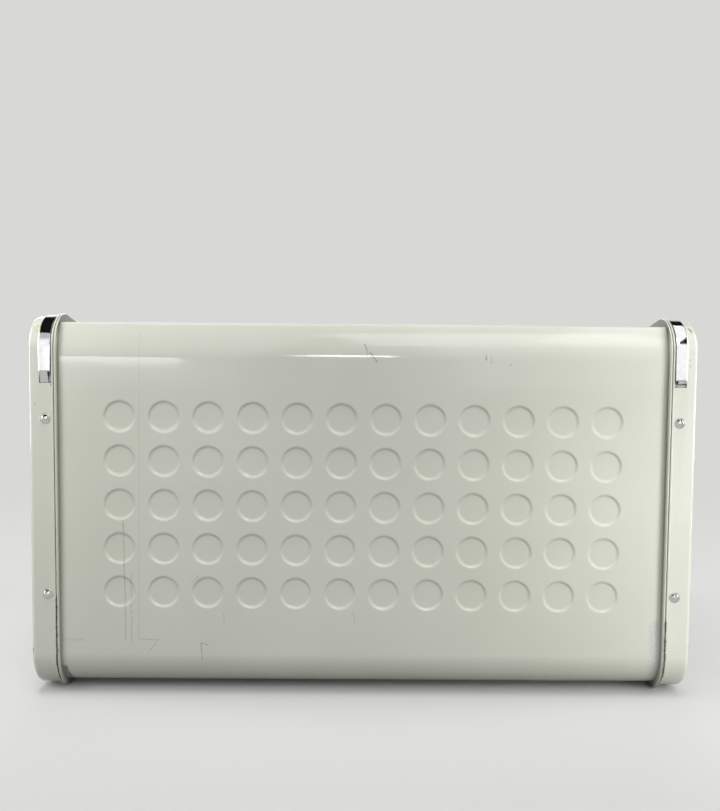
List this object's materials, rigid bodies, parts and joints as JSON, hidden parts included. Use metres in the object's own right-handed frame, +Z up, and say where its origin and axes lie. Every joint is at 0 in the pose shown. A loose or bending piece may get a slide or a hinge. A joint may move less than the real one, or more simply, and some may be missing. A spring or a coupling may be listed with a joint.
{
  "type": "roll-top bread box",
  "caption": "Sheet-metal bread box with hollow end caps, chromed strips over both ends, pressed discs in the back and a curved door that rolls back under the sloping top.",
  "frame": {"origin": "on the ground, under the middle of the box", "axes": "+Z up, the door faces -Y, the disc-pressed back faces +Y, +X along the width, to the right of someone who looks at the door"},
  "size_m": [0.41, 0.254, 0.2384],
  "materials": {
    "enamel": "glossy stoved enamel",
    "trim_chrome": "polished chrome plate",
    "rivet_steel": "plated, domed",
    "pin_steel": "turned, zinc plated",
    "fibre_washer": "red fibre",
    "bush_brass": "turned brass",
    "buffer_rubber": "moulded rubber"
  },
  "bodies": {
    "case": {"body_wrap": "enamel", "inner_end_left": "enamel", "inner_end_right": "enamel", "end_cap_left": "enamel", "end_cap_right": "enamel", "trim_strip_left": "trim_chrome", "trim_strip_right": "trim_chrome", "back_rivets": "rivet_steel", "bottom_rivets": "rivet_steel", "pivot_pin_left": "pin_steel", "pivot_pin_right": "pin_steel", "pin_retainer_left": "pin_steel", "pin_retainer_right": "pin_steel", "pivot_washer_left": "fibre_washer", "pivot_washer_right": "fibre_washer", "stop_buffers": "buffer_rubber"},
    "door": {"door_skin": "enamel", "door_arm_left": "enamel", "door_arm_right": "enamel", "arm_rivets": "rivet_steel", "door_handle": "trim_chrome", "handle_screws": "pin_steel", "handle_nuts": "pin_steel", "pivot_bush_left": "bush_brass", "pivot_bush_right": "bush_brass"}
  },
  "joints": [
    {"name": "door_roll", "type": "hinge", "parent": "case", "child": "door", "pos_m": [0, -0.002, 0.08824], "axis": [-1, 0, 0], "range_deg": [0, 95.7]}
  ]
}
